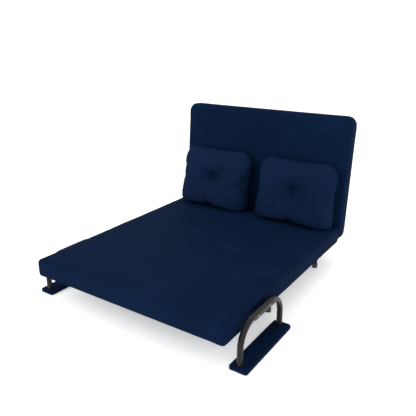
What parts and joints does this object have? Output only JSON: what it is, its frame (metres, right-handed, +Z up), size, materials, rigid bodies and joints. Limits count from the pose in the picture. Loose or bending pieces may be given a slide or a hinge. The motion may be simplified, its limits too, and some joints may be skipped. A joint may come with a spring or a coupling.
{
  "type": "futon sofa bed",
  "caption": "Fold-out futon sofa bed with three flat fabric pads, a reclining backrest, loose tufted pillows and steel tube armrests that turn into front feet.",
  "frame": {"origin": "on the floor, at the centre of the outline, with the bed opened flat and the backrest up", "axes": "+Z up; +Y from the front edge towards the backrest; +X to the right seen from the front"},
  "size_m": [1.154, 1.3264, 0.7904],
  "materials": {
    "navy_fabric": "matte",
    "pillow_fabric": "matte",
    "dark_steel": "satin",
    "zinc_steel": "satin",
    "plywood": "matte",
    "cover_cloth": "matte",
    "webbing": "matte",
    "foot_plastic": "matte",
    "rubber": "matte"
  },
  "bodies": {
    "base": {"middle_pad": "navy_fabric", "middle_frame": "dark_steel", "middle_slats": "plywood", "middle_bottom_cover": "cover_cloth", "base_leg_left": "dark_steel", "base_leg_right": "dark_steel", "base_crossbar_front": "dark_steel", "base_crossbar_rear": "dark_steel", "base_foot_caps": "foot_plastic", "base_bolts": "zinc_steel", "base_bumpers": "rubber", "fold_hinge_base_leaves": "dark_steel", "fold_hinge_pins": "zinc_steel", "recline_brackets": "dark_steel", "recline_pins": "zinc_steel"},
    "front": {"front_pad_upper": "navy_fabric", "front_pad_lower": "navy_fabric", "front_frame": "dark_steel", "front_slats": "plywood", "fold_hinge_front_leaves": "dark_steel", "arm_tube_left": "dark_steel", "arm_tube_right": "dark_steel", "arm_plate_left": "dark_steel", "arm_plate_right": "dark_steel", "arm_spacers": "dark_steel", "arm_bolts": "zinc_steel", "arm_nuts": "zinc_steel", "arm_board_left": "plywood", "arm_board_right": "plywood", "arm_pad_left": "navy_fabric", "arm_pad_right": "navy_fabric", "arm_tube_plugs": "zinc_steel", "arm_leg_bolts": "zinc_steel"},
    "back": {"back_pad_front": "navy_fabric", "back_pad_rear": "navy_fabric", "back_frame": "dark_steel", "back_webbing": "webbing", "recline_arms": "dark_steel", "ratchet_pawls": "zinc_steel", "pawl_pins": "zinc_steel", "pawl_springs": "zinc_steel", "head_leg_brackets": "dark_steel", "head_leg_pins": "zinc_steel"},
    "support_leg": {"head_leg_tube": "dark_steel"},
    "left_pillow": {"pillow_left": "pillow_fabric", "pillow_button_left": "pillow_fabric"},
    "right_pillow": {"pillow_right": "pillow_fabric", "pillow_button_right": "pillow_fabric"}
  },
  "joints": [
    {"name": "front_fold", "type": "hinge", "parent": "base", "child": "front", "pos_m": [0, -0.07918, 0.2085], "axis": [-1, 0, 0], "range_deg": [0, 179.5], "deforming": ["pillow_left", "pillow_right", "pillow_button_left", "pillow_button_right"]},
    {"name": "back_recline", "type": "hinge", "parent": "base", "child": "back", "pos_m": [0, 0.54932, 0.164], "axis": [-1, 0, 0], "range_deg": [0, 85.36]},
    {"name": "support_leg_swing", "type": "hinge", "parent": "back", "child": "support_leg", "pos_m": [0, 0.65318, 0.67728], "axis": [-1, 0, 0], "range_deg": [-85.36, 0]},
    {"name": "pillow_left_lift", "type": "slide", "parent": "back", "child": "left_pillow", "axis": [0, 0.0809, 0.9967], "range_m": [0, 0.0961]},
    {"name": "pillow_right_lift", "type": "slide", "parent": "back", "child": "right_pillow", "axis": [0, 0.0809, 0.9967], "range_m": [0, 0.0961]}
  ],
  "couplings": [
    {"joint": "support_leg_swing", "follows": "back_recline", "ratio": -1},
    {"joint": "pillow_left_lift", "follows": "front_fold", "m_per_rad": 0.030643},
    {"joint": "pillow_right_lift", "follows": "front_fold", "m_per_rad": 0.030643}
  ]
}
